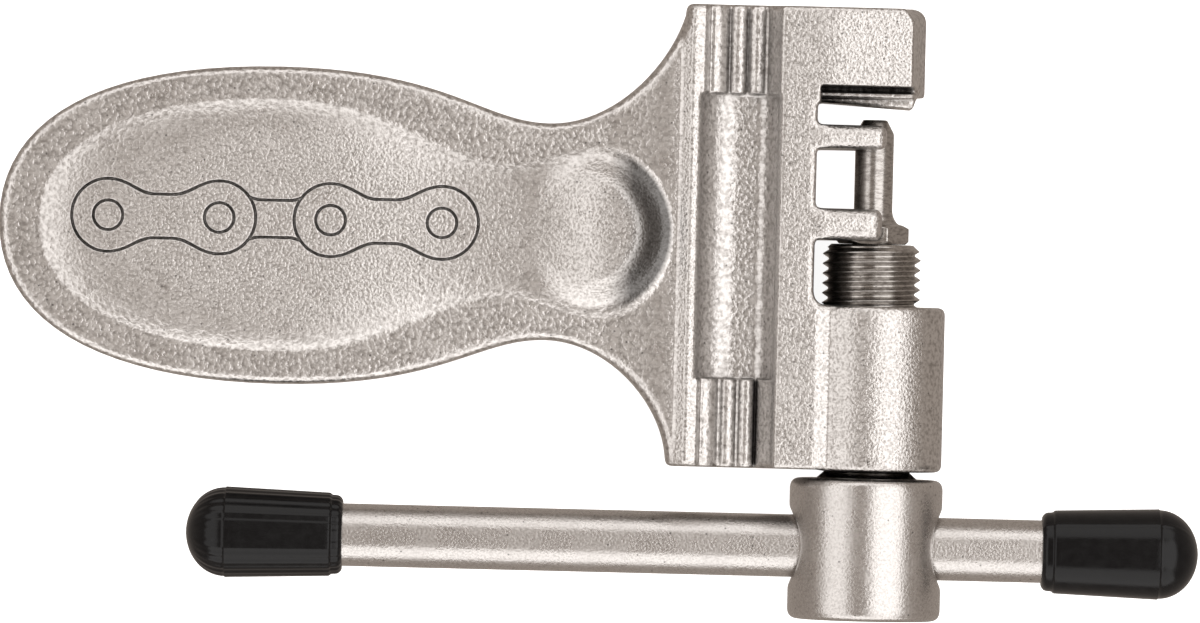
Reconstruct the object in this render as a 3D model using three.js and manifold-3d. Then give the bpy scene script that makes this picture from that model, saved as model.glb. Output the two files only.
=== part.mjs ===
// Bicycle chain tool: a forged steel body with a paddle handle, a two-shelf chain cradle and an anvil jaw,
// and an M10 drive screw with a sliding tommy bar that pushes the breaker pin against a chain rivet.
//
// Millimetres. The tool lies flat on its back: X runs from the handle to the open side of the cradle,
// Y runs along the drive axis towards the anvil, Z is up. The origin is the bottom centre of the
// bounding box, so the lowest line of the T-head is at Z = 0 and the tool's mid-plane is at Z = midPlane.
import * as THREE from "three";
import { mergeVertices } from "three/addons/utils/BufferGeometryUtils.js";
import Module from "manifold-3d";

const wasm = await Module();
wasm.setup();

// ---- driving dimensions ----
const midPlane = 7.8; // the T-head's radius: it is what the tool lies on
const driveX = 27.5;
const handleY = 7.6; // the handle is symmetric about this line

const body = {
  left: -61.5,
  right: 32.5,
  top: 31.2,
  bottom: -16,
  cornerRadius: 1.4,
  handleHalfWidth: 16.2,
  handleWidestX: -33,
  neckX: -5.7,
  neckHalfWidth: 11.07,
  columnFaceX: 21.5,
};
const thickness = {
  handle: 4.4, handleEdge: 0.6, pillow: 5.7, pillowEdge: 1.5, rim: 5.9, head: 6.8, jawTip: 5.9,
};
const bulb = { x: -1.6, y: 7.8, radius: 7.3, height: 7.3, bevel: 2.2, rampEnd: 0.3 };
const groove = { x: 13.65, halfWidth: 4.05, depth: 3, bottom: -6.9, top: 22.3 };
const flutes = { count: 4, pitch: 1.87, left: 9.9, floor: 5.5, depth: 0.75 };
const jaw = { faceY: 23.2, ridgeY: 22.4, padInnerY: 21.45, padOuterY: 20.9, padRight: 31 };
const jawWidths = { padHalf: 3.6, ridgeHalf: 5.2 };
const shelves = [
  { bottom: 16.7, top: 19.15, tip: 28.6 },
  { bottom: 7.45, top: 10.65, tip: 28.3 },
];
const rollerNotchRadius = 4.1;
const rivetHoleRadius = 2.1;
const boss = { radius: 7.6, top: 0.8, boreRadius: 5.12 };

const thread = { majorRadius: 5, rootRadius: 4.42, pitch: 1, facetsPerTurn: 24 };
const screw = { top: 7.1, threadBottom: -15.9, neckRadius: 4.35, collarRadius: 5.15 };
const tail = { radius: 3.5, length: 2.8 }; // the plain end pressed into the T-head
const stem = { radius: 2, bottom: -2, boreRadius: 2.1, boreBottom: -2.4 };
const snapRing = { y: 1.3, height: 0.7, innerRadius: 1.56, outerRadius: 2.65, gapDegrees: 40 };
const ringGroove = { stemRadius: 1.5, stemHalf: 0.4, boreRadius: 2.75, boreHalf: 0.5 };
const pin = { radius: 1.97, shoulder: 18.4, tip: 19.8, tipRadius: 1.22 };
const flange = { radius: 3.75, height: 2, flare: 0.8, clearance: 0.05 }; // the pin's hexagon
const headGap = 0.8; // from the boss to the T-head
const tHead = {
  radius: midPlane, bottom: -31.2, chamfer: 0.6, holeRadius: 3.45, boreRadius: 3.53, boreDepth: 3,
};
const bar = { radius: 3.2, y: -23.8, chamfer: 0.5, leftEnd: -41.8, rightEnd: 61.5 }; // ends over the caps
const cap = { length: 16, radius: 4.63, mouthRadius: 4.25, collarRadius: 4, collarLength: 1.1, dome: 4 };
const capBore = { radius: 3.22, depth: 14, barGap: 0.2 };
const roundSides = 48;
const beyond = 12; // half-length of cutters that pass right through the body from face to face

// ---- turning geometries into solids and back ----
function solid(geometry) {
  const bare = geometry.clone();
  bare.deleteAttribute("normal");
  bare.deleteAttribute("uv");
  const merged = mergeVertices(bare);
  const positions = merged.attributes.position.array;
  const triangles = [];
  for (let i = 0; i < merged.index.count; i += 3) {
    const [a, b, c] = merged.index.array.slice(i, i + 3);
    if (a !== b && b !== c && c !== a) {
      triangles.push(a, b, c);
    }
  }
  const mesh = new wasm.Mesh({
    numProp: 3,
    vertProperties: new Float32Array(positions),
    triVerts: new Uint32Array(triangles),
  });
  return new wasm.Manifold(mesh);
}

function joined(solids) {
  return solids.reduce((sum, next) => sum.add(next));
}

function cut(target, cutters) {
  return cutters.reduce((rest, cutter) => rest.subtract(cutter), target);
}

function geometryOf(manifold) {
  const mesh = manifold.getMesh();
  const geometry = new THREE.BufferGeometry();
  geometry.setAttribute("position", new THREE.BufferAttribute(new Float32Array(mesh.vertProperties), 3));
  geometry.setIndex(new THREE.BufferAttribute(new Uint32Array(mesh.triVerts), 1));
  geometry.computeVertexNormals();
  return geometry;
}

// ---- basic shapes, placed from the mid-plane ----
function box(x0, x1, y0, y1, z0, z1) {
  const geometry = new THREE.BoxGeometry(x1 - x0, y1 - y0, z1 - z0);
  return solid(geometry.translate((x0 + x1) / 2, (y0 + y1) / 2, (z0 + z1) / 2));
}

function rod(radius, y0, y1, x, z = 0, sides = roundSides) {
  const geometry = new THREE.CylinderGeometry(radius, radius, y1 - y0, sides);
  return solid(geometry.translate(x, (y0 + y1) / 2, z));
}

function turned(profile, x, sides = roundSides) {
  const points = profile.map(([radius, y]) => new THREE.Vector2(radius, y));
  return solid(new THREE.LatheGeometry(points, sides).translate(x, 0, 0));
}

function plate(shape, halfThickness, bevel = 0) {
  const geometry = new THREE.ExtrudeGeometry(shape, {
    depth: 2 * (halfThickness - bevel),
    bevelEnabled: bevel > 0,
    bevelThickness: bevel,
    bevelSize: bevel,
    bevelOffset: -bevel,
    bevelSegments: 3,
    curveSegments: 10,
  });
  return solid(geometry.translate(0, 0, bevel - halfThickness));
}

// A section drawn in X and Z, drawn out along Y from y0 to y1.
function drawnAlongY(points, y0, y1) {
  const shape = new THREE.Shape(points.map(([x, z]) => new THREE.Vector2(x, z)));
  const geometry = new THREE.ExtrudeGeometry(shape, { depth: y1 - y0, bevelEnabled: false });
  return solid(geometry.rotateX(Math.PI / 2).translate(0, y1, 0));
}

// ---- forged body ----
// The handle, the neck and the whole head seen from above, without the cradle's openings.
function bodyOutline() {
  const b = body;
  const reach = 0.64; // gives the handle's end the roundness of a 2.3-power superellipse
  const neckTop = handleY + b.neckHalfWidth;
  const neckBottom = handleY - b.neckHalfWidth;
  const handleTop = handleY + b.handleHalfWidth;
  const handleBottom = handleY - b.handleHalfWidth;
  const tipHandle = b.handleHalfWidth * reach;
  const sideHandle = b.handleWidestX - (b.handleWidestX - b.left) * reach;
  const r = b.cornerRadius;
  const shape = new THREE.Shape();
  shape.moveTo(b.left, handleY);
  shape.bezierCurveTo(b.left, handleY - tipHandle, sideHandle, handleBottom, b.handleWidestX, handleBottom);
  shape.bezierCurveTo(-16, handleBottom, -12.5, neckBottom, b.neckX, neckBottom);
  shape.bezierCurveTo(0.5, neckBottom, 5.6, -9.4, 6.6, b.bottom + 1.2);
  shape.quadraticCurveTo(6.8, b.bottom, 8.1, b.bottom);
  shape.lineTo(b.right - r, b.bottom);
  shape.absarc(b.right - r, b.bottom + r, r, -Math.PI / 2, 0);
  shape.lineTo(b.right, b.top - r);
  shape.absarc(b.right - r, b.top - r, r, 0, Math.PI / 2);
  shape.lineTo(9.3, b.top);
  shape.quadraticCurveTo(8.1, b.top, 7.9, b.top - 1.2);
  shape.bezierCurveTo(6.3, 24.6, 0.5, neckTop, b.neckX, neckTop);
  shape.bezierCurveTo(-12.5, neckTop, -16, handleTop, b.handleWidestX, handleTop);
  shape.bezierCurveTo(sideHandle, handleTop, b.left, handleY + tipHandle, b.left, handleY);
  return shape;
}

// Seen from the side: the web steps up at the groove's rim, and the head falls a little to the jaw's tip.
function headEnvelope() {
  const t = thickness;
  const upper = [
    [body.neckX - 4, t.handle - t.handleEdge],
    [6.8, t.handle + 0.2],
    [8.4, t.rim],
    [groove.x + groove.halfWidth, t.head],
    [body.columnFaceX + 1, t.head],
    [body.right + 1, t.jawTip],
  ];
  const lower = upper.map(([x, z]) => [x, -z]).reverse();
  return drawnAlongY([...upper, ...lower], body.bottom - 1, body.top + 1);
}

// The raised pillow on both faces of the handle, narrow at the neck and wide again at the web.
function pillow() {
  const endX = 0.2;
  const endLength = 6.8;
  const endHalf = 8.7;
  const waist = 7.2;
  const half = body.handleHalfWidth - 3.3;
  const left = body.left + 4.4;
  const shape = new THREE.Shape();
  shape.moveTo(left, handleY);
  shape.bezierCurveTo(left, handleY - half * 0.64, -48, handleY - half, body.handleWidestX, handleY - half);
  shape.bezierCurveTo(-22, handleY - half, -17, handleY - waist, -10, handleY - waist);
  shape.bezierCurveTo(-6, handleY - waist, -4.5, handleY - endHalf, endX, handleY - endHalf);
  shape.absellipse(endX, handleY, endLength, endHalf, -Math.PI / 2, Math.PI / 2);
  shape.bezierCurveTo(-4.5, handleY + endHalf, -6, handleY + waist, -10, handleY + waist);
  shape.bezierCurveTo(-17, handleY + waist, -22, handleY + half, body.handleWidestX, handleY + half);
  shape.bezierCurveTo(-48, handleY + half, left, handleY + half * 0.64, left, handleY);
  return plate(shape, thickness.pillow, thickness.pillowEdge);
}

// A round bulb stands on the pillow's end on both faces, and the pillow ramps up to it from the neck.
function pillowBulb() {
  const circle = new THREE.Shape();
  circle.absarc(bulb.x, bulb.y, bulb.radius, 0, 2 * Math.PI);
  const upper = [
    [bulb.x - bulb.radius - 1, thickness.pillow - 0.3],
    [bulb.rampEnd, bulb.height],
    [bulb.x + bulb.radius + 1, bulb.height],
  ];
  const lower = upper.map(([x, z]) => [x, -z]).reverse();
  const ramp = drawnAlongY([...upper, ...lower], bulb.y - bulb.radius - 1, bulb.y + bulb.radius + 1);
  return plate(circle, bulb.height, bulb.bevel).intersect(ramp);
}

// Half-round groove on each face, with sawtooth flutes above and below it.
function grooveCutters() {
  const surface = thickness.head;
  const radius = (groove.halfWidth ** 2 + groove.depth ** 2) / (2 * groove.depth);
  const cutters = [];
  for (const side of [-1, 1]) {
    const centreZ = side * (surface - groove.depth + radius);
    cutters.push(rod(radius, groove.bottom, groove.top, groove.x, centreZ));
    cutters.push(fluteCutter(side, body.bottom - 1, groove.bottom));
    cutters.push(fluteCutter(side, groove.top, body.top + 1));
  }
  return cutters;
}

function fluteCutter(side, y0, y1) {
  const points = [[flutes.left, side * beyond]];
  for (let i = 0; i < flutes.count; i += 1) {
    const x = flutes.left + i * flutes.pitch;
    points.push([x, side * flutes.floor]);
    points.push([x + flutes.pitch, side * (flutes.floor + flutes.depth)]);
  }
  points.push([flutes.left + flutes.count * flutes.pitch, side * beyond]);
  return drawnAlongY(points, y0, y1);
}

// Everything to the right of the column that isn't jaw, shelf or boss.
function cradleOpenings() {
  const [upper, lower] = shelves;
  const face = body.columnFaceX;
  const far = body.right + 2;
  const deep = beyond;
  const chainSlot = new THREE.Shape();
  chainSlot.moveTo(face, upper.top);
  chainSlot.lineTo(far, upper.top);
  chainSlot.lineTo(far, jaw.padOuterY);
  chainSlot.lineTo(jaw.padRight, jaw.padOuterY);
  chainSlot.lineTo(face, jaw.padInnerY);
  chainSlot.closePath();
  return [
    plate(chainSlot, deep),
    box(face, far, lower.top, upper.bottom, -deep, deep),
    box(face, driveX, boss.top, lower.bottom, -deep, deep),
    box(upper.tip, far, upper.bottom - 1, upper.top + 1, -deep, deep),
    box(lower.tip, far, lower.bottom - 1, lower.top + 1, -deep, deep),
    box(driveX, far, body.bottom - 1, lower.bottom, -deep, deep),
  ];
}

// The jaw's underside steps down from its two faces to a ridge, and from the ridge to the pad in the middle.
function jawSteps() {
  const left = body.columnFaceX;
  const right = body.right + 2;
  const below = shelves[0].top;
  const { padHalf, ridgeHalf } = jawWidths;
  return [
    box(jaw.padRight, right, below, jaw.ridgeY, -beyond, beyond),
    box(left, right, below, jaw.ridgeY, padHalf, beyond),
    box(left, right, below, jaw.ridgeY, -beyond, -padHalf),
    box(left, right, below, jaw.faceY, ridgeHalf, beyond),
    box(left, right, below, jaw.faceY, -beyond, -ridgeHalf),
  ];
}

// A chain roller drops between the two prongs of each shelf, and the breaker pin passes there.
function rollerNotch() {
  const y0 = boss.top + 1;
  const y1 = shelves[0].top + 0.5;
  return [
    rod(rollerNotchRadius, y0, y1, driveX),
    box(driveX, body.right + 2, y0, y1, -rollerNotchRadius, rollerNotchRadius),
  ];
}

function forgedBody() {
  const outline = bodyOutline();
  const head = plate(outline, beyond).intersect(headEnvelope());
  const handle = plate(outline, thickness.handle, thickness.handleEdge);
  const opened = cut(head.add(handle), [...cradleOpenings(), ...jawSteps(), ...grooveCutters()]);
  const raised = [pillow(), pillowBulb(), rod(boss.radius, body.bottom, boss.top, driveX)];
  const withBoss = joined([opened, ...raised]);
  return cut(withBoss, [
    ...rollerNotch(),
    rod(boss.boreRadius, body.bottom - 1, boss.top + 1, driveX),
    rod(rivetHoleRadius, shelves[0].top, body.top + 1, driveX, 0, 24),
  ]);
}

// ---- breaker pin and its snap ring ----
function breakerPin() {
  const flangeBottom = screw.top + flange.clearance;
  const flangeTop = flangeBottom + flange.height;
  const grooveTop = snapRing.y + ringGroove.stemHalf;
  const grooveBottom = snapRing.y - ringGroove.stemHalf;
  const shaft = turned(
    [
      [0, stem.bottom],
      [stem.radius - 0.3, stem.bottom],
      [stem.radius, stem.bottom + 0.3],
      [stem.radius, grooveBottom],
      [ringGroove.stemRadius, grooveBottom],
      [ringGroove.stemRadius, grooveTop],
      [stem.radius, grooveTop],
      [stem.radius, flangeBottom + 0.1],
      [flange.radius * 0.86, flangeTop - 0.1],
      [pin.radius + 0.35, flangeTop + flange.flare * 0.3],
      [pin.radius, flangeTop + flange.flare],
      [pin.radius, pin.shoulder],
      [pin.tipRadius, pin.tip],
      [0, pin.tip],
    ],
    driveX,
    24,
  );
  const hex = rod(flange.radius, flangeBottom, flangeTop, driveX, 0, 6);
  const cornerCone = turned(
    [
      [0, flangeBottom - 0.5],
      [flange.radius - 0.4, flangeBottom - 0.001],
      [flange.radius + 0.2, flangeBottom + 0.45],
      [flange.radius + 0.2, flangeTop - 0.35],
      [flange.radius - 0.4, flangeTop + 0.1],
      [0, flangeTop + 0.4],
    ],
    driveX,
    24,
  );
  return shaft.add(hex.intersect(cornerCone));
}

function pinSnapRing() {
  const gap = THREE.MathUtils.degToRad(snapRing.gapDegrees);
  const shape = new THREE.Shape();
  shape.absarc(0, 0, snapRing.outerRadius, gap / 2, 2 * Math.PI - gap / 2);
  shape.absarc(0, 0, snapRing.innerRadius, 2 * Math.PI - gap / 2, gap / 2, true);
  shape.closePath();
  const geometry = new THREE.ExtrudeGeometry(shape, {
    depth: snapRing.height,
    bevelEnabled: false,
    curveSegments: 24,
  });
  geometry.rotateX(Math.PI / 2).translate(driveX, snapRing.y + snapRing.height / 2, 0);
  return solid(geometry);
}

// ---- drive screw ----
// A right-hand V thread as one closed skin: rows follow the helix, alternating between root and crest.
function threadSkin(y0, turns) {
  const { majorRadius, rootRadius, pitch, facetsPerTurn: sides } = thread;
  const columns = sides + 1;
  const rows = 2 * turns + 1;
  const vertices = [];
  for (let row = 0; row < rows; row += 1) {
    const radius = row % 2 === 0 ? rootRadius : majorRadius;
    for (let column = 0; column < columns; column += 1) {
      const turn = column / sides;
      const angle = -2 * Math.PI * turn;
      vertices.push(radius * Math.cos(angle), y0 + pitch * (row / 2 + turn), radius * Math.sin(angle));
    }
  }
  const at = (row, column) => row * columns + column;
  const triangles = [];
  for (let row = 0; row < rows - 1; row += 1) {
    for (let column = 0; column < sides; column += 1) {
      triangles.push(at(row, column), at(row, column + 1), at(row + 1, column + 1));
      triangles.push(at(row, column), at(row + 1, column + 1), at(row + 1, column));
    }
  }
  closeThreadEnd(vertices, triangles, at, 0, y0, false);
  closeThreadEnd(vertices, triangles, at, rows - 1, y0 + pitch * (turns + 1), true);
  const geometry = new THREE.BufferGeometry();
  geometry.setAttribute("position", new THREE.Float32BufferAttribute(vertices, 3));
  geometry.setIndex(triangles);
  return solid(geometry.translate(driveX, 0, 0));
}

// The end's rim is one turn of the helix and then the step back along the thread's own profile.
function closeThreadEnd(vertices, triangles, at, row, centreY, isTop) {
  const sides = thread.facetsPerTurn;
  const centre = vertices.length / 3;
  vertices.push(0, centreY, 0);
  const rim = [];
  for (let column = 0; column <= sides; column += 1) {
    rim.push(at(row, column));
  }
  rim.push(isTop ? at(row - 1, sides) : at(row + 1, 0));
  for (let i = 0; i < rim.length; i += 1) {
    const next = rim[(i + 1) % rim.length];
    triangles.push(centre, ...(isTop ? [rim[i], next] : [next, rim[i]]));
  }
}

function driveScrew() {
  const headFace = body.bottom - headGap;
  const turns = Math.ceil(screw.top - screw.threadBottom) + 2;
  const chamfer = thread.majorRadius - thread.rootRadius;
  const skin = threadSkin(screw.threadBottom - 2, turns);
  const threaded = turned(
    [
      [0, screw.threadBottom],
      [screw.neckRadius, screw.threadBottom],
      [thread.majorRadius + 0.1, screw.threadBottom + chamfer],
      [thread.majorRadius + 0.1, screw.top - chamfer],
      [thread.rootRadius - 0.1, screw.top],
      [0, screw.top],
    ],
    driveX,
  );
  const neck = turned(
    [
      [0, headFace - tail.length],
      [tail.radius, headFace - tail.length],
      [tail.radius, headFace + 0.02],
      [screw.collarRadius, headFace + 0.02],
      [screw.neckRadius, headFace + 0.75],
      [screw.neckRadius, screw.threadBottom + 0.3],
      [0, screw.threadBottom + 0.3],
    ],
    driveX,
  );
  const noseBore = turned(
    [
      [0, stem.boreBottom],
      [stem.boreRadius, stem.boreBottom + 0.3],
      [stem.boreRadius, snapRing.y - ringGroove.boreHalf],
      [ringGroove.boreRadius, snapRing.y - ringGroove.boreHalf],
      [ringGroove.boreRadius, snapRing.y + ringGroove.boreHalf],
      [stem.boreRadius, snapRing.y + ringGroove.boreHalf],
      [stem.boreRadius, screw.top + 1],
      [0, screw.top + 1],
    ],
    driveX,
    24,
  );
  return cut(skin.intersect(threaded).add(neck), [noseBore]);
}

// ---- T-head, tommy bar and rubber caps ----
function tHeadSolid() {
  const top = body.bottom - headGap;
  const { radius, bottom, chamfer } = tHead;
  const drum = turned(
    [
      [0, bottom],
      [radius - chamfer, bottom],
      [radius, bottom + chamfer],
      [radius, top - chamfer],
      [radius - chamfer, top],
      [0, top],
    ],
    driveX,
  );
  const crossHole = new THREE.CylinderGeometry(tHead.holeRadius, tHead.holeRadius, 20, roundSides);
  return cut(drum, [
    rod(tHead.boreRadius, top - tHead.boreDepth, top + 1, driveX),
    solid(crossHole.rotateZ(Math.PI / 2).translate(driveX, bar.y, 0)),
  ]);
}

function alongBar(profile, x, direction) {
  const points = profile.map(([radius, along]) => new THREE.Vector2(radius, along));
  const geometry = new THREE.LatheGeometry(points, roundSides);
  return solid(geometry.rotateZ((-direction * Math.PI) / 2).translate(x, bar.y, 0));
}

function tommyBar() {
  const hidden = cap.length - capBore.depth + capBore.barGap; // from a cap's outer end to the bar's end
  const length = bar.rightEnd - bar.leftEnd - 2 * hidden;
  const profile = [
    [0, 0],
    [bar.radius - bar.chamfer, 0],
    [bar.radius, bar.chamfer],
    [bar.radius, length - bar.chamfer],
    [bar.radius - bar.chamfer, length],
    [0, length],
  ];
  return alongBar(profile, bar.leftEnd + hidden, 1);
}

// A rubber cap from its mouth at x outwards: collar, slightly flared sleeve, round dome, blind bore.
function barCap(x, direction) {
  const sleeveEnd = cap.length - cap.dome;
  const outside = [
    [capBore.radius, 0],
    [cap.collarRadius - 0.5, 0],
    [cap.collarRadius, cap.collarLength * 0.5],
    [cap.mouthRadius, cap.collarLength],
    [cap.radius, sleeveEnd],
  ];
  const domeSteps = 6;
  for (let i = 1; i < domeSteps; i += 1) {
    const angle = (i / domeSteps) * (Math.PI / 2);
    outside.push([cap.radius * Math.cos(angle), sleeveEnd + cap.dome * Math.sin(angle)]);
  }
  outside.push([0, cap.length]);
  const bore = [
    [0, capBore.depth],
    [capBore.radius, capBore.depth],
    [capBore.radius, 0],
  ];
  return alongBar([...outside, ...bore], x, direction);
}

// ---- assembly ----
function steel(colour, roughness) {
  return new THREE.MeshStandardMaterial({ color: colour, roughness, metalness: 1 });
}

const satinForging = steel(0xb4aca7, 0.5);
const blastedSteel = steel(0xb9b2ac, 0.45);
const darkSteel = steel(0x8a8179, 0.35);
const springSteel = steel(0x5c5650, 0.4);
const blackRubber = new THREE.MeshStandardMaterial({ color: 0x131314, roughness: 0.6, metalness: 0 });

const tool = new THREE.Group();
tool.position.z = midPlane;

function addPiece(name, manifold, material) {
  const mesh = new THREE.Mesh(geometryOf(manifold), material);
  mesh.name = name;
  tool.add(mesh);
}

addPiece("forged_body", forgedBody(), satinForging);
addPiece("breaker_pin", breakerPin(), darkSteel);
addPiece("pin_snap_ring", pinSnapRing(), springSteel);
addPiece("drive_screw", driveScrew(), darkSteel);
addPiece("t_head", tHeadSolid(), blastedSteel);
addPiece("tommy_bar", tommyBar(), blastedSteel);
addPiece("bar_cap_left", barCap(bar.leftEnd + cap.length, -1), blackRubber);
addPiece("bar_cap_right", barCap(bar.rightEnd - cap.length, 1), blackRubber);

const part = new THREE.Group();
part.add(tool);
export default part;
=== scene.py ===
"""Looks of a forged bicycle chain tool: body, breaker pin, drive screw, T-head and capped tommy bar.

Shapes are worked out in millimetres: X runs from the handle to the cradle, Y along the drive axis, Z up.
The forged body and the T-head are distance fields turned into meshes, and the other pieces are skins of
revolution.
"""

import math

import bmesh
import bpy
import numpy as np
import openvdb
from mathutils import Euler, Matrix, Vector


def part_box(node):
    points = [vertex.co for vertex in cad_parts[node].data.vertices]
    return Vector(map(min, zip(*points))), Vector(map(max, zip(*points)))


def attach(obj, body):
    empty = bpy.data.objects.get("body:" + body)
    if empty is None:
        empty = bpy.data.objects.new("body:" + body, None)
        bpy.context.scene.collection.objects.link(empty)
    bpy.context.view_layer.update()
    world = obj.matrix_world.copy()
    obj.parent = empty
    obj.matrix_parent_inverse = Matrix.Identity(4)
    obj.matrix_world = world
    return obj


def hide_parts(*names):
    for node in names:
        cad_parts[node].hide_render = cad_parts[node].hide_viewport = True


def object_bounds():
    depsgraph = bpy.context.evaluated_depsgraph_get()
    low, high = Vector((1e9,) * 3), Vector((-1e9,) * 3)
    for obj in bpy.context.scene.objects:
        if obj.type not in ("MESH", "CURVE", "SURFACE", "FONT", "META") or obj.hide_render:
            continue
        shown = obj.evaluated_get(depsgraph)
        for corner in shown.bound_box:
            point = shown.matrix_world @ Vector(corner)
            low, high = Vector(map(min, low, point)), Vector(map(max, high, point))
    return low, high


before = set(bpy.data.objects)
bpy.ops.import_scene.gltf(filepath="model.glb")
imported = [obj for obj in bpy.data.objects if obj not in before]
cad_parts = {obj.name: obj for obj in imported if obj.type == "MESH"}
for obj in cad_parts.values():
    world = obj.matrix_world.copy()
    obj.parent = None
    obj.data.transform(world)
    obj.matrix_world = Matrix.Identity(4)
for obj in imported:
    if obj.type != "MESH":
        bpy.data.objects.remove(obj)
cad_low, cad_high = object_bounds()

MM = 0.001
TAU = 2 * math.pi


def box_mm(node):
    """The lowest and highest corner of a CAD node, in millimetres."""
    low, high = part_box(node)
    return np.array(low) / MM, np.array(high) / MM


# ---- places taken from the frame ----
BODY_LOW, BODY_HIGH = box_mm("forged_body")
SCREW_LOW, SCREW_HIGH = box_mm("drive_screw")
PIN_LOW, PIN_HIGH = box_mm("breaker_pin")
HEAD_LOW, HEAD_HIGH = box_mm("t_head")
BAR_LOW, BAR_HIGH = box_mm("tommy_bar")
LEFT_CAP_MOUTH_X = box_mm("bar_cap_left")[1][0]
RIGHT_CAP_MOUTH_X = box_mm("bar_cap_right")[0][0]

DRIVE_X = (HEAD_LOW[0] + HEAD_HIGH[0]) / 2
MID_Z = (HEAD_LOW[2] + HEAD_HIGH[2]) / 2
BAR_Y = (BAR_LOW[1] + BAR_HIGH[1]) / 2
HANDLE_Y = (BODY_LOW[1] + BODY_HIGH[1]) / 2
BODY_LEFT = BODY_LOW[0]
BODY_HALF = (BODY_HIGH[1] - BODY_LOW[1]) / 2
HEAD_RADIUS = (HEAD_HIGH[0] - HEAD_LOW[0]) / 2
BAR_RADIUS = (BAR_HIGH[2] - BAR_LOW[2]) / 2

# ---- sizes of the body's features, in millimetres ----
HANDLE_HALF_WIDTH = 16.2
HANDLE_WIDEST_X = -33.0
NECK_X = -5.7
NECK_HALF_WIDTH = 11.07
JAW_RIGHT = 32.5
CORNER_RADIUS = 1.4
COLUMN_FACE_X = 21.5
BAND_HEIGHT = 4.5
WEB_HEIGHT = 5.2
RIM_HEIGHT = 5.9
RIM_BEVEL = 0.25
HEAD_HEIGHT = 6.8
PILLOW_END_X = 0.2
PILLOW_END_LENGTH = 6.9
PILLOW_END_HALF = 8.8
BULB_X = -1.6
BULB_Y = HANDLE_Y + 0.2
BULB_RADIUS = 8.0
BULB_RISE = 1.8
BULB_FOOT_X = -9.5
BULB_RIDGE_X = 0.3
GROOVE_X = 13.6
GROOVE_HALF_WIDTH = 4.15
GROOVE_DEPTH = 4.1
GROOVE_FLAT = 1.9
GROOVE_TOP = 22.05
GROOVE_BOTTOM = -6.9
FLUTE_LIFT = 0.75
FLUTE_DEPTH = 0.95
UPPER_SHELF = (16.7, 19.15, 28.6)  # bottom, top, tip
LOWER_SHELF = (7.45, 10.65, 28.3)
EMBLEM_LEFT = -56
EMBLEM_RIGHT = -10
EMBLEM_Y = HANDLE_Y + 0.6
BOSS_TOP = 0.8
BOSS_RADIUS = 7.6
BORE_RADIUS = 5.12
ROLLER_NOTCH_RADIUS = 4.1
RIVET_HOLE_RADIUS = 2.1

FINE_STEP = 0.2
DRUM_STEP = 0.15


# ---- outlines and distance fields ----
def bezier(p0, p1, p2, p3, steps=20):
    """Points of a cubic curve, without its last one."""
    t = np.linspace(0, 1, steps, endpoint=False)[:, None]
    p0, p1, p2, p3 = map(np.array, (p0, p1, p2, p3))
    return (1 - t) ** 3 * p0 + 3 * (1 - t) ** 2 * t * p1 + 3 * (1 - t) * t**2 * p2 + t**3 * p3


def outline_distance(points, x, y):
    """Signed distance in the plane to a closed outline, negative inside."""
    nearest = np.full(x.shape, 1e6, np.float32)
    inside = np.zeros(x.shape, bool)
    for (x0, y0), (x1, y1) in zip(points, np.roll(points, -1, axis=0)):
        ex, ey = x1 - x0, y1 - y0
        along = np.clip(((x - x0) * ex + (y - y0) * ey) / max(ex * ex + ey * ey, 1e-9), 0, 1)
        nearest = np.minimum(nearest, (x - x0 - along * ex) ** 2 + (y - y0 - along * ey) ** 2)
        if y0 != y1:
            inside ^= ((y0 > y) != (y1 > y)) & (x < (x1 - x0) * (y - y0) / (y1 - y0) + x0)
    return np.where(inside, -1, 1) * np.sqrt(nearest)


def smooth_max(a, b, blend):
    """Where two solids' distances meet, the edge of what they share is rounded."""
    share = np.clip(0.5 + 0.5 * (a - b) / blend, 0, 1)
    return b + (a - b) * share + blend * share * (1 - share)


def smooth_min(a, b, blend):
    """The joint of two solids, with a fillet between them."""
    return -smooth_max(-a, -b, blend)


def rounded_box(x, y, x0, x1, y0, y1, radius):
    """Signed distance to a rectangle with round corners."""
    dx = np.abs(x - (x0 + x1) / 2) - (x1 - x0) / 2 + radius
    dy = np.abs(y - (y0 + y1) / 2) - (y1 - y0) / 2 + radius
    outside = np.hypot(np.maximum(dx, 0), np.maximum(dy, 0))
    return outside + np.minimum(np.maximum(dx, dy), 0) - radius


def smooth_step(x, start, end):
    """0 up to start, 1 from end on, and an S-curve between them."""
    t = np.clip((x - start) / (end - start), 0, 1)
    return t * t * (3 - 2 * t)


def field_axes(low, high, step):
    """Sample positions on each axis, with room for the surface to close."""
    return [np.arange(a - 3 * step, b + 3 * step, step, dtype=np.float32) for a, b in zip(low, high)]


def mesh_from_field(name, distance, origin, step):
    """A mesh of the surface where the distance field is zero. origin is the first sample, in millimetres."""
    band = 3 * step
    grid = openvdb.FloatGrid(background=band)
    grid.copyFromArray(np.ascontiguousarray(np.clip(distance, -band, band), np.float32))
    points, _, quads = grid.convertToPolygons(isovalue=0.0, adaptivity=0.0)
    points = (points.astype(float) * step + origin) * MM
    corners = points[quads[:, :3]]
    volume = np.einsum("ij,ij->i", corners[:, 0], np.cross(corners[:, 1], corners[:, 2])).sum()
    if volume < 0:
        quads = quads[:, ::-1]
    mesh = bpy.data.meshes.new(name)
    mesh.from_pydata(points.tolist(), [], quads.tolist())
    mesh.validate()
    return add_piece(name, mesh)


def add_piece(name, mesh):
    mesh.polygons.foreach_set("use_smooth", [True] * len(mesh.polygons))
    piece = bpy.data.objects.new(name, mesh)
    bpy.context.scene.collection.objects.link(piece)
    return piece


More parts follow.
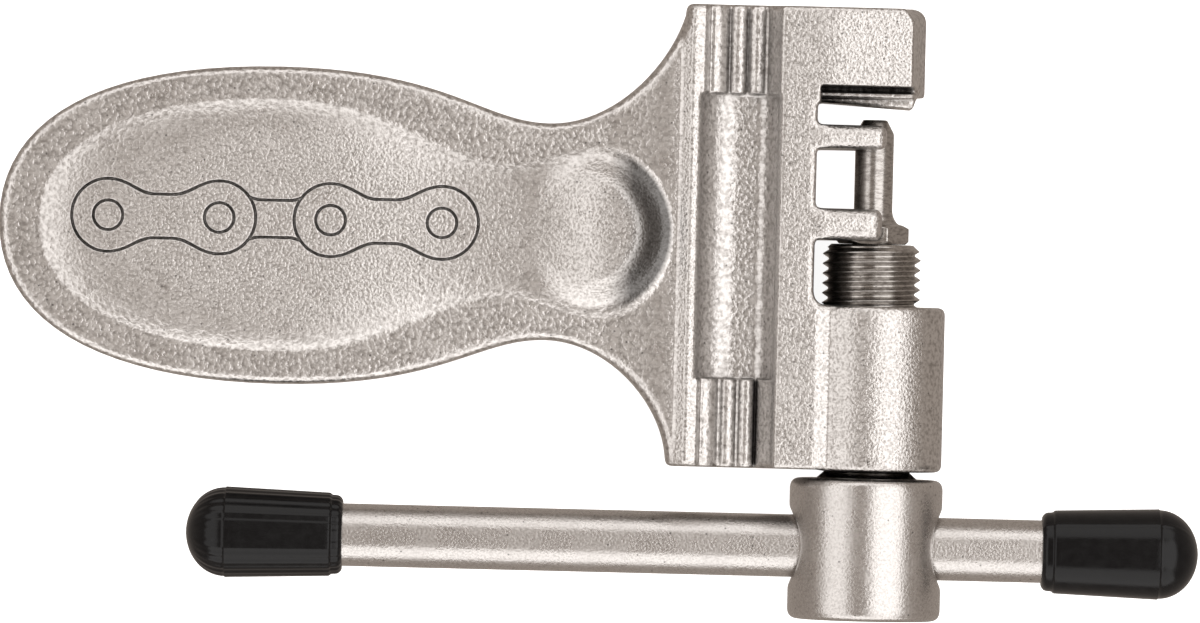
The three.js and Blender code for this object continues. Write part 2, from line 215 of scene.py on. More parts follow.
# ---- forged body ----
def half_outline(side, shoulder_x, flare_x):
    """The upper (side 1) or lower (side -1) half of the outline, from the handle's end to the jaw's side."""
    reach = 0.64
    widest = HANDLE_Y + side * HANDLE_HALF_WIDTH
    neck = HANDLE_Y + side * NECK_HALF_WIDTH
    edge = HANDLE_Y + side * BODY_HALF
    tip_pull = HANDLE_Y + side * HANDLE_HALF_WIDTH * reach
    side_pull = HANDLE_WIDEST_X - (HANDLE_WIDEST_X - BODY_LEFT) * reach
    flare = HANDLE_Y + side * 17
    shoulder = edge - side * 1.2
    return np.vstack(
        [
            bezier(
                (BODY_LEFT, HANDLE_Y),
                (BODY_LEFT, tip_pull),
                (side_pull, widest),
                (HANDLE_WIDEST_X, widest),
            ),
            bezier((HANDLE_WIDEST_X, widest), (-16, widest), (-12.5, neck), (NECK_X, neck)),
            bezier((NECK_X, neck), (0.7, neck), (flare_x, flare), (shoulder_x, shoulder)),
            bezier(
                (shoulder_x, shoulder),
                (shoulder_x + 0.1, edge),
                (shoulder_x + 0.2, edge),
                (shoulder_x + 1.4, edge),
                6,
            ),
            [(JAW_RIGHT - CORNER_RADIUS, edge)],
            bezier(
                (JAW_RIGHT - CORNER_RADIUS, edge),
                (JAW_RIGHT - 0.45 * CORNER_RADIUS, edge),
                (JAW_RIGHT, edge - side * 0.45 * CORNER_RADIUS),
                (JAW_RIGHT, edge - side * CORNER_RADIUS),
                8,
            ),
            [(JAW_RIGHT, edge - side * CORNER_RADIUS)],
        ]
    )


def body_outline():
    upper = half_outline(1, 7.9, 6.3)
    lower = half_outline(-1, 6.8, 6.2)
    return np.vstack([upper, lower[::-1][:-1]])


def pillow_outline():
    """The raised field of the handle, narrow at the neck and ending in a wide bulb at the web."""
    half = HANDLE_HALF_WIDTH - 3.3
    left = BODY_LEFT + 4.2
    waist, waist_x = 6.9, -10
    end_x, end_half = PILLOW_END_X, PILLOW_END_HALF
    upper = np.vstack(
        [
            bezier((left, 0), (left, half * 0.64), (-48, half), (HANDLE_WIDEST_X, half)),
            bezier((HANDLE_WIDEST_X, half), (-22, half), (-17, waist), (waist_x, waist)),
            bezier((waist_x, waist), (-6, waist), (-4.5, end_half), (end_x, end_half)),
        ]
    )
    angles = np.linspace(math.pi / 2, 0, 16)
    end = np.column_stack([end_x + PILLOW_END_LENGTH * np.cos(angles), end_half * np.sin(angles)])
    half_loop = np.vstack([upper, end])
    loop = np.vstack([half_loop, (half_loop * [1, -1])[::-1][1:-1]])
    return loop + [0, HANDLE_Y]


def pillow_rise(x, y):
    """How far the handle's raised field stands above the band around it, with the bulb on its end."""
    inside = np.maximum(-outline_distance(pillow_outline(), x, y), 0)
    height = 1.4 - 0.4 * smooth_step(x, -28, -14) + 0.1 * smooth_step(x, -6, 2)
    shoulder = 3.6 - 1.1 * smooth_step(x, -52, -38)
    field = height * (1 - np.exp(-inside / shoulder))
    dome = smooth_step(-np.hypot(x - BULB_X, y - BULB_Y), -BULB_RADIUS, -BULB_RADIUS + 3.2)
    climb = (np.maximum(x - BULB_FOOT_X, 0) / (BULB_RIDGE_X - BULB_FOOT_X)) ** 2
    return field + BULB_RISE * dome * smooth_min(climb, 1, 0.35)


def groove_surface(x):
    """The groove's surface: round on the handle's side, flat in the middle and tighter on the jaw's side."""
    left = (GROOVE_X - x) / GROOVE_HALF_WIDTH
    right = (x - GROOVE_X - GROOVE_FLAT) / (GROOVE_HALF_WIDTH - GROOVE_FLAT)
    across = np.maximum(np.maximum(left, right), 0)
    rise = 1 - np.sqrt(np.maximum(1 - across**2, 0))
    return HEAD_HEIGHT - GROOVE_DEPTH + GROOVE_DEPTH * rise + 20 * np.maximum(across - 1, 0)


def flute_surface(x, pitch, valley_x):
    """The channel's shallower ends, with round ribs running along them and sharp valleys between."""
    ribs = np.abs(np.sin(math.pi * (x - valley_x) / pitch)) ** 0.45
    return groove_surface(x) + FLUTE_LIFT + FLUTE_DEPTH * (ribs - 0.8)


def face_height(x, y):
    """Height of the body's face above its mid-plane, without the boss."""
    web = BAND_HEIGHT + (WEB_HEIGHT - BAND_HEIGHT) * smooth_step(x, 0, 7.5)
    rim = (RIM_HEIGHT - WEB_HEIGHT) * np.clip((x - 7.6) / 1.1, 0, 1)
    rim = rim - RIM_BEVEL * np.clip((x - 9) / 0.7, 0, 1)
    column = (HEAD_HEIGHT - RIM_HEIGHT + RIM_BEVEL) * smooth_step(x, 9.9, 10.2)
    jaw_slope = -0.1 * smooth_max(x - 23.0, 0, 1.2)
    boss_slope = -0.33 * np.clip(x - 21.9, 0, 1.8) * (1 - smooth_step(y, BOSS_TOP - 0.1, BOSS_TOP + 0.3))
    height = web + rim + column + jaw_slope + boss_slope + pillow_rise(x, y)
    upper_zone = smooth_step(y, GROOVE_TOP - 0.15, GROOVE_TOP + 0.15)
    lower_zone = 1 - smooth_step(y, GROOVE_BOTTOM - 0.15, GROOVE_BOTTOM + 0.15)
    channel = groove_surface(x)
    upper_flutes = flute_surface(x, 1.9, 12.45)
    lower_flutes = flute_surface(x, 1.85, 12.2)
    channel = channel + (upper_flutes - channel) * upper_zone + (lower_flutes - channel) * lower_zone
    height = smooth_min(height, channel, 0.3)
    under_jaw = (x > COLUMN_FACE_X + 0.4) & (y > UPPER_SHELF[1] + 1)
    return np.where(under_jaw, np.minimum(height, anvil_height(y)), height)


def anvil_height(y):
    """Height of the steps under the jaw's face: anvil pad, ridge, deep undercut, and then the face itself."""
    pad, ridge, above_face = 3.4, 1.2, 6
    steps = ridge * (smooth_step(y, 21.8, 22.05) - smooth_step(y, 22.4, 22.65))
    return pad + steps + above_face * smooth_step(y, 22.95, 23.25)


def emblem_cut(x, y):
    """A plain run of chain links, drawn as a shallow line on the handle."""
    line_half_width, depth = 0.17, 0.45
    pitch, plates, end_radius, pin_radius = 11.3, 3, 3.7, 1.5
    x = x - (HANDLE_WIDEST_X - 0.3 - pitch * plates / 2)
    y = y - EMBLEM_Y

    def plate(i, radius):
        return plate_distance(x - (i + 0.5) * pitch, y, pitch / 2, radius)

    outer = [plate(i, end_radius) for i in range(0, plates, 2)]
    inner = [plate(i, end_radius * 0.85) for i in range(1, plates, 2)]
    outer_edge = np.min(outer, axis=0)
    inner_line = np.where(outer_edge < 0, 10, np.abs(np.min(inner, axis=0)))
    pins = np.min([np.abs(np.hypot(x - i * pitch, y) - pin_radius) for i in range(plates + 1)], axis=0)
    nearest = np.minimum(np.minimum(np.abs(outer_edge), inner_line), pins)
    return depth * np.clip(1 - nearest / line_half_width, 0, 1)


def plate_distance(x, y, half_pitch, end_radius):
    """Distance to a chain plate's outline: two round ends and a narrower waist."""
    ends = np.hypot(np.abs(x) - half_pitch, y) - end_radius
    waist = np.maximum(np.abs(x) - half_pitch, np.abs(y) - end_radius * 0.6)
    return smooth_min(ends, waist, 1.6)


def jaw_underside(x):
    """Y of the jaw's lower surface: the sloping anvil pad, which stops short of the jaw's right side."""
    pad = 21.45 - 0.058 * (x - COLUMN_FACE_X)
    return pad + (22.1 - pad) * smooth_step(x, 31.1, 31.7)


def boss_distance(x, y, z):
    """The round threaded boss, which the block beside it meets left of the drive axis."""
    middle, half = (BODY_LOW[1] + BOSS_TOP) / 2, (BOSS_TOP - BODY_LOW[1]) / 2
    across = np.hypot(x - DRIVE_X, z) - BOSS_RADIUS
    across = smooth_max(across, COLUMN_FACE_X + 0.8 - x, 0.3)
    return smooth_max(across, np.abs(y - middle) - half, 0.8)


def body_distance(xs, ys, zs):
    """Distance field of the body's half above its mid-plane."""
    flat_x, flat_y = np.meshgrid(xs, ys, indexing="ij")
    outline = outline_distance(body_outline(), flat_x, flat_y)
    height = face_height(flat_x, flat_y)

    plan = flat_x - COLUMN_FACE_X
    for bottom, top, tip in (UPPER_SHELF, LOWER_SHELF):
        plan = smooth_min(plan, rounded_box(flat_x, flat_y, 10, tip, bottom, top, 0.8), 0.6)
    block = rounded_box(flat_x, flat_y, 0, DRIVE_X, BODY_LOW[1] - 9, BOSS_TOP, 0.6)
    plan = smooth_min(plan, block, 1.6)
    plan = smooth_min(plan, jaw_underside(flat_x) - flat_y, 0.7)

    x, y, z = flat_x[:, :, None], flat_y[:, :, None], zs[None, None, :]
    draft = 0.02 + 0.26 * smooth_step(x, 30, 31.5)
    side = smooth_max(outline[:, :, None] + draft * z, plan[:, :, None], 0.35)
    on_shelves = smooth_step(x, 22, 23.5) * (y > BOSS_TOP + 2) * (y < UPPER_SHELF[1] + 1)
    edge_rounding = 1.2 - 0.6 * smooth_step(x, 6, 12) + 0.8 * on_shelves
    solid = smooth_max(side, z - height[:, :, None], edge_rounding)
    solid = smooth_min(solid, boss_distance(x, y, z), 0.25)
    return drill(solid, x, y, z)


def drill(solid, x, y, z):
    """Cuts the roller notch, the bore with its countersink, and the rivet hole, all on the drive axis."""
    across = np.hypot(x - DRIVE_X, z)
    notch = np.where(x > DRIVE_X, z - ROLLER_NOTCH_RADIUS, across - ROLLER_NOTCH_RADIUS)
    notch = np.maximum(notch, np.abs(y - 10.6) - 9.0)
    bore = np.maximum(across - BORE_RADIUS, np.abs(y + 7.5) - 9.5)
    hole = np.maximum(across - RIVET_HOLE_RADIUS, UPPER_SHELF[1] - y)
    for cutter in (notch, bore, hole):
        solid = smooth_max(solid, -cutter, 0.3)
    countersink = np.maximum(across - BORE_RADIUS - 0.4, np.abs(y - BODY_LOW[1]) - 0.3)
    return np.maximum(solid, -countersink)


def make_body():
    half_depth = BOSS_RADIUS + 0.6
    low = (BODY_LOW[0], BODY_LOW[1], 0)
    high = (BODY_HIGH[0] + 0.6, BODY_HIGH[1], half_depth)
    xs, ys, _ = field_axes(low, high, FINE_STEP)
    zs = np.arange(0, half_depth + 3 * FINE_STEP, FINE_STEP, dtype=np.float32)
    upper = body_distance(xs, ys, zs)
    both = np.concatenate([upper[:, :, :0:-1], upper], axis=2)
    origin = (xs[0], ys[0], MID_Z - zs[-1])
    body = mesh_from_field("forged_body_skin", both, origin, FINE_STEP)
    engrave(body.data)
    return body


def engrave(mesh):
    """Presses the emblem's line into the handle's upper face, on a finer mesh than the rest."""
    bm = bmesh.new()
    bm.from_mesh(mesh)

    def is_near(edge):
        x, y, z = edge.verts[0].co / MM
        return z > MID_Z and EMBLEM_LEFT < x < EMBLEM_RIGHT and abs(y - EMBLEM_Y) < 4.3

    near = [edge for edge in bm.edges if is_near(edge)]
    bmesh.ops.subdivide_edges(bm, edges=near, cuts=2, use_grid_fill=True)
    bm.to_mesh(mesh)
    bm.free()
    points = np.empty(len(mesh.vertices) * 3)
    mesh.vertices.foreach_get("co", points)
    points = points.reshape(-1, 3)
    x, y, z = points.T / MM
    on_field = (z > MID_Z) & (x > EMBLEM_LEFT) & (x < EMBLEM_RIGHT) & (np.abs(y - HANDLE_Y) < 6)
    points[:, 2] -= np.where(on_field, emblem_cut(x, y), 0) * MM
    mesh.vertices.foreach_set("co", points.ravel())
    mesh.update()


# ---- T-head ----
def make_t_head():
    xs, ys, zs = field_axes(HEAD_LOW, HEAD_HIGH, DRUM_STEP)
    x, y, z = np.meshgrid(xs, ys, zs, indexing="ij")
    across = np.hypot(x - DRIVE_X, z - MID_Z)
    middle, half = (HEAD_LOW[1] + HEAD_HIGH[1]) / 2, (HEAD_HIGH[1] - HEAD_LOW[1]) / 2
    drum = smooth_max(across - HEAD_RADIUS, np.abs(y - middle) - half, 1.1)
    hole = np.hypot(y - BAR_Y, z - MID_Z) - BAR_RADIUS - 0.2
    tail_hole = np.maximum(across - 3.53, HEAD_HIGH[1] - 3 - y)
    drum = smooth_max(drum, -hole, 1.0)
    drum = np.maximum(drum, -tail_hole)
    return mesh_from_field("t_head_skin", drum, (xs[0], ys[0], zs[0]), DRUM_STEP)


# ---- skins of revolution ----
def eased(corners, steps=5):
    """A profile from (radius, along, easing) corners: each corner with an easing becomes a small curve."""
    points = []
    for i, (radius, along, easing) in enumerate(corners):
        here = np.array((radius, along), float)
        if easing == 0:
            points.append(here)
            continue
        before = np.array(corners[i - 1][:2], float) - here
        after = np.array(corners[i + 1][:2], float) - here
        start = here + before / np.linalg.norm(before) * min(easing, np.linalg.norm(before) / 2)
        end = here + after / np.linalg.norm(after) * min(easing, np.linalg.norm(after) / 2)
        for t in np.linspace(0, 1, steps):
            points.append((1 - t) ** 2 * start + 2 * (1 - t) * t * here + t**2 * end)
    return np.array(points)


def finely(profile, step):
    """The same profile with no gap along it longer than step."""
    points = [profile[0]]
    for a, b in zip(profile, profile[1:]):
        count = max(1, math.ceil(np.linalg.norm(b - a) / step))
        points.extend(a + (b - a) * t for t in np.linspace(0, 1, count + 1)[1:])
    return np.array(points)


def revolved(name, profile, centre, axis, segments, radius_at=None):
    """Turns a profile of (radius, along), from pole to pole, round an axis through centre.

    radius_at(radius, along, angle) may change the radius from place to place. Angle 0 faces up for a
    piece along X and right for a piece along Y, where a quarter turn faces up.
    """
    rings = profile[1:-1]
    angle = np.arange(segments) * TAU / segments
    radius = np.repeat(rings[:, :1], segments, axis=1)
    along = np.repeat(rings[:, 1:], segments, axis=1)
    if radius_at:
        radius = radius_at(radius, along, angle[None, :])
    u, v = radius * np.cos(angle), radius * np.sin(angle)
    if axis == "y":
        ring_points = np.stack([centre[0] + u, along, centre[2] + v], axis=2)
        poles = [(centre[0], profile[0][1], centre[2]), (centre[0], profile[-1][1], centre[2])]
    else:
        ring_points = np.stack([along, centre[1] + v, centre[2] + u], axis=2)
        poles = [(profile[0][1], centre[1], centre[2]), (profile[-1][1], centre[1], centre[2])]
    points = np.vstack([ring_points.reshape(-1, 3), poles]) * MM
    count = len(rings)
    first, last = count * segments, count * segments + 1
    faces = []
    for row in range(count - 1):
        for column in range(segments):
            following = (column + 1) % segments
            faces.append(
                (
                    row * segments + column,
                    row * segments + following,
                    (row + 1) * segments + following,
                    (row + 1) * segments + column,
                )
            )
    for column in range(segments):
        following = (column + 1) % segments
        faces.append((first, following, column))
        faces.append((last, (count - 1) * segments + column, (count - 1) * segments + following))
    mesh = bpy.data.meshes.new(name)
    mesh.from_pydata(points.tolist(), [], faces)
    face_outwards(mesh)
    return add_piece(name, mesh)


def face_outwards(mesh):
    """Turns the faces over if the closed mesh is inside out."""
    mesh.calc_loop_triangles()
    corners = np.array([[mesh.vertices[i].co for i in t.vertices] for t in mesh.loop_triangles[:]])
    volume = np.einsum("ij,ij->i", corners[:, 0], np.cross(corners[:, 1], corners[:, 2])).sum()
    if volume < 0:
        mesh.flip_normals()


# ---- breaker pin ----
def make_pin():
    flange_bottom = SCREW_HIGH[1] + 0.05
    flange_top = flange_bottom + 2
    shaft, flange = 1.97, 3.75
    profile = eased(
        [
            (0, PIN_LOW[1], 0),
            (1.9, PIN_LOW[1], 0.2),
            (2.0, flange_bottom, 0),
            (flange - 0.35, flange_bottom, 0.1),
            (flange, flange_bottom + 0.35, 0.1),
            (flange, flange_top - 0.4, 0.15),
            (flange - 0.75, flange_top, 0.3),
            (shaft + 0.55, flange_top + 0.05, 0.5),
            (shaft, flange_top + 0.95, 0.6),
            (shaft, PIN_HIGH[1] - 1.4, 0.2),
            (1.22, PIN_HIGH[1], 0.12),
            (0, PIN_HIGH[1], 0),
        ]
    )

    def hexagon(radius, along, angle):
        corner = math.radians(7)
        facet = (angle - corner) % (TAU / 6) - TAU / 12
        flat = flange * math.cos(TAU / 12) / np.cos(facet)
        in_flange = (along > flange_bottom - 0.01) & (along < flange_top + 0.02)
        return np.where(in_flange, np.minimum(radius, flat), radius)

    centre = (DRIVE_X, 0, MID_Z)
    return revolved("breaker_pin_skin", finely(profile, 0.4), centre, "y", 180, hexagon)


# ---- drive screw ----
def make_screw():
    root, crest, pitch = 4.42, 5.0, 1.0
    thread_bottom, thread_top = BODY_LOW[1] + 0.1, SCREW_HIGH[1]
    head_face = HEAD_HIGH[1]
    lead_in = 0.75
    rows_per_pitch = 20
    ends = eased(
        [
            (0, SCREW_LOW[1], 0),
            (3.5, SCREW_LOW[1], 0.2),
            (3.5, head_face + 0.02, 0),
            (5.15, head_face + 0.02, 0.1),
            (4.35, head_face + 0.7, 0.2),
            (4.35, thread_bottom, 0),
        ]
    )
    count = int((thread_top - thread_bottom) / pitch * rows_per_pitch)
    threaded = [(crest, y) for y in np.linspace(thread_bottom, thread_top, count)[1:]]
    bore = [(2.1, thread_top, 0), (2.1, PIN_LOW[1] - 0.3, 0), (0, PIN_LOW[1] - 0.3, 0)]
    profile = np.vstack([ends, threaded, eased(bore)])

    def thread(radius, along, angle):
        phase = ((along - 6.08) / pitch + (angle - math.pi) / TAU) % 1
        from_crest = np.minimum(phase, 1 - phase)
        flank = np.clip((from_crest - 0.04) / 0.38, 0, 1)
        helix = crest - (crest - root) * flank
        inset = np.maximum(lead_in - (thread_top - along), lead_in - (along - thread_bottom))
        on_thread = (radius > crest - 0.01) & (along > thread_bottom) & (along <= thread_top)
        return np.where(on_thread, np.minimum(helix, crest - np.maximum(inset, 0) * 1.1), radius)

    centre = (DRIVE_X, 0, MID_Z)
    return revolved("drive_screw_skin", profile, centre, "y", 96, thread)


# ---- tommy bar and rubber caps ----
def make_bar():
    profile = eased(
        [
            (0, BAR_LOW[0], 0),
            (BAR_RADIUS - 0.5, BAR_LOW[0], 0.1),
            (BAR_RADIUS, BAR_LOW[0] + 0.5, 0.1),
            (BAR_RADIUS, BAR_HIGH[0] - 0.5, 0.1),
            (BAR_RADIUS - 0.5, BAR_HIGH[0], 0.1),
            (0, BAR_HIGH[0], 0),
        ]
    )
    return revolved("tommy_bar_skin", finely(profile, 3), (0, BAR_Y, MID_Z), "x", 128)


def make_cap(name, mouth, direction, mark_at, mark_angle):
    """A moulded cap from its mouth outwards, with flash at the mouth, parting lines and a moulding mark."""
    length, dome, widest, bore_depth = 16.0, 4.0, 4.63, 14.0
    sleeve_end = length - dome
    corners = [
        (0, bore_depth, 0),
        (BAR_RADIUS + 0.02, bore_depth, 0),
        (BAR_RADIUS + 0.02, 0.02, 0),
        (3.55, 0.0, 0.2),
        (4.0, 0.35, 0.3),
        (4.05, 1.1, 0.1),
        (4.25, 1.3, 0.15),
        (widest, sleeve_end - 0.05, 0.03),
        (widest - 0.09, sleeve_end, 0),
    ]
    profile = list(eased(corners))
    for t in np.linspace(0, math.pi / 2, 20)[1:-1]:
        profile.append(np.array(((widest - 0.09) * math.cos(t), sleeve_end + dome * math.sin(t))))
    profile.append(np.array((0, length)))
    profile = finely(np.array(profile), 0.45)

    def moulded(radius, along, angle):
        outside = radius > BAR_RADIUS + 0.1
        seam = np.abs((angle - 0.75) % math.pi)
        seam = np.minimum(seam, math.pi - seam) * radius
        ridge = 0.05 * np.exp(-((seam / 0.12) ** 2)) * (along > 1.2)
        ragged = np.sin(angle * 23) * np.sin(angle * 9 + 1) * 0.06 * (along < 0.6)
        turn = (angle - mark_angle + math.pi) % TAU - math.pi
        from_mark = np.hypot((along - mark_at) / 1.25, turn * radius / 0.8)
        mark = 0.16 * np.exp(-(((from_mark - 0.75) / 0.22) ** 2)) - 0.12 * np.exp(-((from_mark / 0.5) ** 2))
        return radius + outside * (ridge + ragged + mark)

    placed = profile * [1, direction] + [0, mouth]
    return revolved(name, placed, (0, BAR_Y, MID_Z), "x", 160, moulded)


# ---- materials ----
def new_material(name):
    material = bpy.data.materials.new(name)
    material.use_nodes = True
    nodes = material.node_tree.nodes
    return material, nodes, material.node_tree.links, nodes["Principled BSDF"]


def position_in_mm(nodes, links, stretch=(1, 1, 1)):
    """The point on the piece, in millimetres, stretched for directional grain."""
    place = nodes.new("ShaderNodeTexCoord")
    mapping = nodes.new("ShaderNodeMapping")
    mapping.inputs["Scale"].default_value = [s / MM for s in stretch]
    links.new(place.outputs["Object"], mapping.inputs["Vector"])
    return mapping.outputs["Vector"]


def noise(nodes, links, vector, scale, detail=2.0, roughness=0.5):
    texture = nodes.new("ShaderNodeTexNoise")
    texture.inputs["Scale"].default_value = scale
    texture.inputs["Detail"].default_value = detail
    texture.inputs["Roughness"].default_value = roughness
    links.new(vector, texture.inputs["Vector"])
    return texture.outputs["Fac"]


def ramp(nodes, links, value, stops):
    """A colour or grey ramp from (position, colour) stops."""
    band = nodes.new("ShaderNodeValToRGB")
    elements = band.color_ramp.elements
    while len(elements) < len(stops):
        elements.new(0.5)
    for element, (position, colour) in zip(elements, stops):
        element.position = position
        element.color = (*colour, 1) if isinstance(colour, tuple) else (colour, colour, colour, 1)
    links.new(value, band.inputs["Fac"])
    return band.outputs["Color"]


def bump(nodes, links, height, distance_mm, strength):
    node = nodes.new("ShaderNodeBump")
    node.inputs["Distance"].default_value = distance_mm * MM
    node.inputs["Strength"].default_value = strength
    links.new(height, node.inputs["Height"])
    return node.outputs["Normal"]


def steel_material(name, valley, crest, roughness, grain, relief, stretch=(1, 1, 1), worn_grain=None):
    """Bare or plated steel, darker in the valleys of its surface grain.

    grain is the number of grains per millimetre and relief their height in millimetres. worn_grain is for
    the forging: the finer grain of surfaces that stand proud and so are rubbed, and it adds painted shade in
    recesses and a painted dark ring round the bulb's end.
    """
    material, nodes, links, shader = new_material(name)
    vector = position_in_mm(nodes, links, stretch)
    shader.inputs["Metallic"].default_value = 1.0
    height = noise(nodes, links, vector, grain, 2.0, 0.5)
    if worn_grain:
        finer = noise(nodes, links, vector, worn_grain, 2.0, 0.5)
        height = mixed(nodes, links, raised_mask(nodes, links), height, finer)
    tone = ramp(nodes, links, height, [(0.3, valley), (0.58, crest)])
    pits = ramp(nodes, links, pit_field(nodes, links, vector), [(0.05, 0.35), (0.11, 1.0)])
    tone = multiplied(nodes, links, tone, pits)
    if worn_grain:
        # Painted shade in grooves and inner corners, from ambient occlusion.
        tone = multiplied(nodes, links, tone, cavity_painted_shade(nodes, links))
        # Painted shade in the crease round the bulb's outer end.
        tone = multiplied(nodes, links, tone, bulb_crease_painted_shade(nodes, links))
    links.new(tone, shader.inputs["Base Color"])
    gloss = noise(nodes, links, vector, 0.3, 3.0, 0.6)
    low, high = roughness
    links.new(ramp(nodes, links, gloss, [(0.3, low), (0.7, high)]), shader.inputs["Roughness"])
    links.new(bump(nodes, links, height, relief, 1.0), shader.inputs["Normal"])
    return material


def raised_mask(nodes, links):
    """0 up to 4.7 mm off the mid-plane, as on the handle's band, and 1 from 5.7 mm on."""
    place = nodes.new("ShaderNodeTexCoord")
    apart = nodes.new("ShaderNodeSeparateXYZ")
    links.new(place.outputs["Object"], apart.inputs["Vector"])
    offset = maths(nodes, links, "SUBTRACT", apart.outputs["Z"], MID_Z * MM)
    lift = maths(nodes, links, "ABSOLUTE", offset, 0)
    scaled = maths(nodes, links, "MULTIPLY", lift, 1 / MM)
    shifted = maths(nodes, links, "SUBTRACT", scaled, 4.7)
    mask = nodes.new("ShaderNodeClamp")
    links.new(shifted, mask.inputs["Value"])
    return mask.outputs["Result"]


def cavity_painted_shade(nodes, links):
    """Painted shade from ambient occlusion: darker in narrow grooves and sharp inner corners."""
    shelter = nodes.new("ShaderNodeAmbientOcclusion")
    shelter.samples = 8
    shelter.inputs["Distance"].default_value = 7 * MM
    return ramp(nodes, links, shelter.outputs["AO"], [(0.0, 0.2), (0.45, 0.4), (0.75, 1.0)])


def bulb_crease_painted_shade(nodes, links):
    """Painted shade: a dark ring, set by position, in the crease round the right side of the bulb's outer
    end.
    """
    place = nodes.new("ShaderNodeTexCoord")
    flat = nodes.new("ShaderNodeVectorMath")
    flat.operation = "MULTIPLY"
    flat.inputs[1].default_value = (1, 1, 0)
    links.new(place.outputs["Object"], flat.inputs[0])
    reach = nodes.new("ShaderNodeVectorMath")
    reach.operation = "DISTANCE"
    reach.inputs[1].default_value = (BULB_X * MM, BULB_Y * MM, 0)
    links.new(flat.outputs["Vector"], reach.inputs[0])
    radius = maths(nodes, links, "MULTIPLY", reach.outputs["Value"], 0.1 / MM)
    ring = ramp(nodes, links, radius, [(0.4, 1.0), (0.54, 0.45), (0.64, 0.2), (0.83, 0.22), (0.885, 1.0)])
    apart = nodes.new("ShaderNodeSeparateXYZ")
    links.new(place.outputs["Object"], apart.inputs["Vector"])
    rightward = maths(nodes, links, "MULTIPLY", apart.outputs["X"], 0.1 / MM)
    side = ramp(nodes, links, rightward, [(0.05, 0.0), (0.3, 1.0)])
    mix = nodes.new("ShaderNodeMix")
    mix.data_type = "RGBA"
    mix.inputs[6].default_value = (1, 1, 1, 1)
    links.new(side, mix.inputs["Factor"])
    links.new(ring, mix.inputs[7])
    return mix.outputs[2]


def maths(nodes, links, operation, value, other):
    node = nodes.new("ShaderNodeMath")
    node.operation = operation
    links.new(value, node.inputs[0])
    node.inputs[1].default_value = other
    return node.outputs["Value"]


def mixed(nodes, links, factor, first, second):
    mix = nodes.new("ShaderNodeMix")
    links.new(factor, mix.inputs["Factor"])
    links.new(first, mix.inputs["A"])
    links.new(second, mix.inputs["B"])
    return mix.outputs["Result"]


def pit_field(nodes, links, vector):
    """Small where a tiny pit lies, large elsewhere."""
    cells = nodes.new("ShaderNodeTexVoronoi")
    cells.inputs["Scale"].default_value = 0.8
    links.new(vector, cells.inputs["Vector"])
    return cells.outputs["Distance"]


def multiplied(nodes, links, first, second):
    mix = nodes.new("ShaderNodeMix")
    mix.data_type = "RGBA"
    mix.blend_type = "MULTIPLY"
    mix.inputs["Factor"].default_value = 1.0
    links.new(first, mix.inputs[6])
    links.new(second, mix.inputs[7])
    return mix.outputs[2]


def rubber_material():
    material, nodes, links, shader = new_material("black_rubber")
    vector = position_in_mm(nodes, links)
    shader.inputs["Specular IOR Level"].default_value = 0.25
    scuffs = noise(nodes, links, vector, 0.9, 6.0, 0.65)
    links.new(
        ramp(nodes, links, scuffs, [(0.35, (0.0015, 0.0015, 0.002)), (0.75, (0.004, 0.004, 0.0045))]),
        shader.inputs["Base Color"],
    )
    links.new(ramp(nodes, links, scuffs, [(0.3, 0.15), (0.7, 0.25)]), shader.inputs["Roughness"])
    fine = bump(nodes, links, noise(nodes, links, vector, 6.0, 3.0, 0.6), 0.02, 0.35)
    links.new(fine, shader.inputs["Normal"])
    return material


def floor_material():
    material, nodes, links, shader = new_material("pale_floor")
    vector = position_in_mm(nodes, links)
    tone = noise(nodes, links, vector, 0.01)
    links.new(ramp(nodes, links, tone, [(0.3, 0.9), (0.7, 0.92)]), shader.inputs["Base Color"])
    shader.inputs["Roughness"].default_value = 0.9
    shader.inputs["Emission Color"].default_value = (1, 1, 1, 1)
    shader.inputs["Emission Strength"].default_value = 0.9
    return material


# ---- studio ----
def make_floor():
    size = 3.0
    mesh = bpy.data.meshes.new("floor")
    corners = [(-size, -size, 0), (size, -size, 0), (size, size, 0), (-size, size, 0)]
    mesh.from_pydata(corners, [], [(0, 1, 2, 3)])
    floor = bpy.data.objects.new("floor", mesh)
    floor.location.z = cad_low.z - 0.0002
    bpy.context.scene.collection.objects.link(floor)
    mesh.materials.append(floor_material())
    floor.visible_glossy = False


def add_softbox(name, tilt, heading, along, across, brightness):
    """An area light facing the tool, placed and sized by angles in degrees seen from the tool.

    tilt is the angle away from straight up, towards the heading (0 is +X and 90 is +Y). along and across
    are the light's half-angles in the direction of the tilt and square to it.
    """
    distance = 1.6
    light = bpy.data.lights.new(name, "AREA")
    light.shape = "RECTANGLE"
    light.size = 2 * distance * math.tan(math.radians(along))
    light.size_y = 2 * distance * math.tan(math.radians(across))
    light.energy = brightness * math.pi * light.size * light.size_y
    holder = bpy.data.objects.new(name, light)
    bpy.context.scene.collection.objects.link(holder)
    turn = Euler((0, math.radians(tilt), math.radians(heading)))
    holder.location = (cad_low + cad_high) / 2 + turn.to_matrix() @ Vector((0, 0, distance))
    holder.rotation_euler = turn


def make_lights():
    add_softbox("right_box", 33, 0, 25, 34, 1.6)
    add_softbox("left_box", 45, 180, 21, 34, 1.1)
    add_softbox("far_strip", 60, 90, 18, 42, 1.15)
    add_softbox("near_strip", 65, -90, 24, 42, 1.35)
    world = bpy.data.worlds.new("studio")
    bpy.context.scene.world = world
    world.use_nodes = True
    background = world.node_tree.nodes["Background"]
    background.inputs["Color"].default_value = (1.0, 0.87, 0.77, 1)
    background.inputs["Strength"].default_value = 0.42


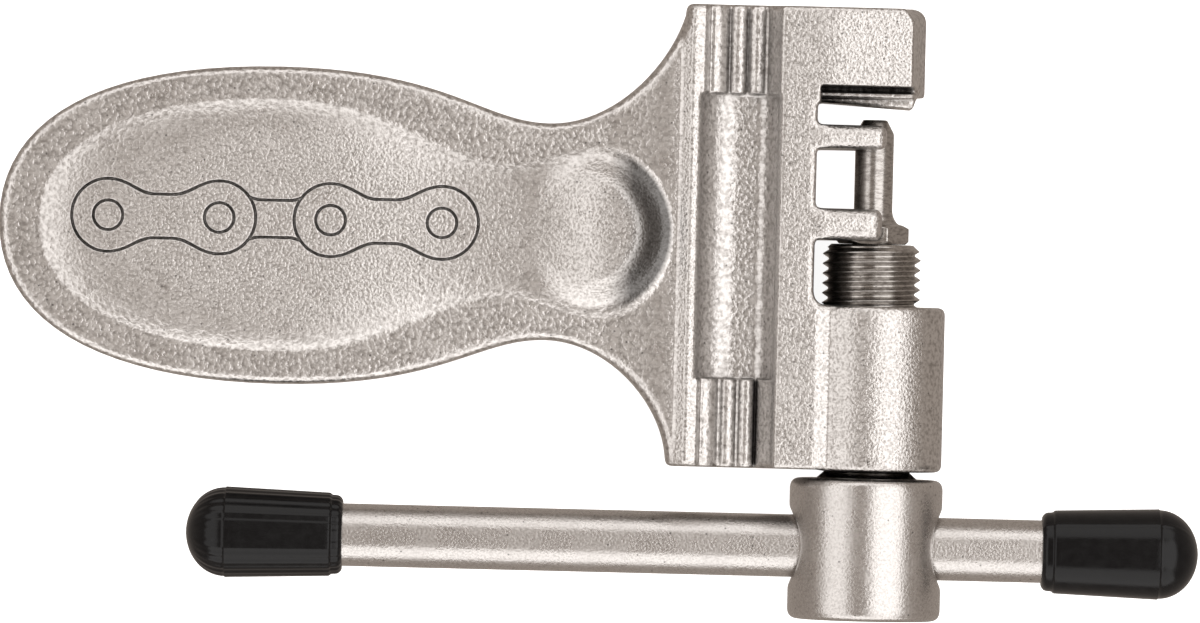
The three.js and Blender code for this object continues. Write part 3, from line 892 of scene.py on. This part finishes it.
def make_camera():
    """Straight above the tool, turned a little, with the picture's width across the whole tool."""
    distance, width, sensor = 1.0, 0.12245, 36.0
    camera = bpy.data.cameras.new("camera")
    camera.sensor_width = sensor
    camera.lens = sensor * distance / width
    camera.clip_start = 0.01
    camera.clip_end = 20
    holder = bpy.data.objects.new("camera", camera)
    bpy.context.scene.collection.objects.link(holder)
    holder.location = (-0.0001, -0.0004, MID_Z * MM + distance)
    holder.rotation_euler = (0, 0, math.radians(1.4))
    bpy.context.scene.camera = holder


# ---- putting the tool together ----
def dress(piece, node, body, material):
    """The piece stands for a CAD node, moves with its body and takes a material."""
    piece.data.materials.clear()
    piece.data.materials.append(material)
    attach(piece, body)
    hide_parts(node)


def make_tool():
    forging = steel_material(
        "satin_forging",
        (0.36, 0.34, 0.325),
        (0.66, 0.64, 0.625),
        (0.27, 0.33),
        2.3,
        0.085,
        worn_grain=3.6,
    )
    blasted = steel_material(
        "blasted_steel", (0.46, 0.44, 0.425), (0.6, 0.58, 0.565), (0.24, 0.3), 4.2, 0.03
    )
    turned = steel_material(
        "tool_steel", (0.28, 0.26, 0.245), (0.48, 0.46, 0.44), (0.2, 0.26), 1.5, 0.01, (1, 2.5, 1)
    )
    spring = steel_material("spring_steel", (0.08, 0.07, 0.065), (0.16, 0.15, 0.14), (0.3, 0.4), 3.0, 0.02)
    rubber = rubber_material()
    dress(make_body(), "forged_body", "body", forging)
    dress(make_pin(), "breaker_pin", "pin", turned)
    dress(make_screw(), "drive_screw", "screw", turned)
    dress(make_t_head(), "t_head", "screw", blasted)
    dress(make_bar(), "tommy_bar", "bar", blasted)
    left = make_cap("bar_cap_left_skin", LEFT_CAP_MOUTH_X, -1, 5.5, 1.3)
    right = make_cap("bar_cap_right_skin", RIGHT_CAP_MOUTH_X, 1, 8.3, -0.9)
    dress(left, "bar_cap_left", "bar", rubber)
    dress(right, "bar_cap_right", "bar", rubber)
    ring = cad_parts["pin_snap_ring"]
    ring.data.materials.clear()
    ring.data.materials.append(spring)


make_tool()
make_floor()
make_lights()
make_camera()
bpy.context.scene.view_settings.view_transform = "Standard"
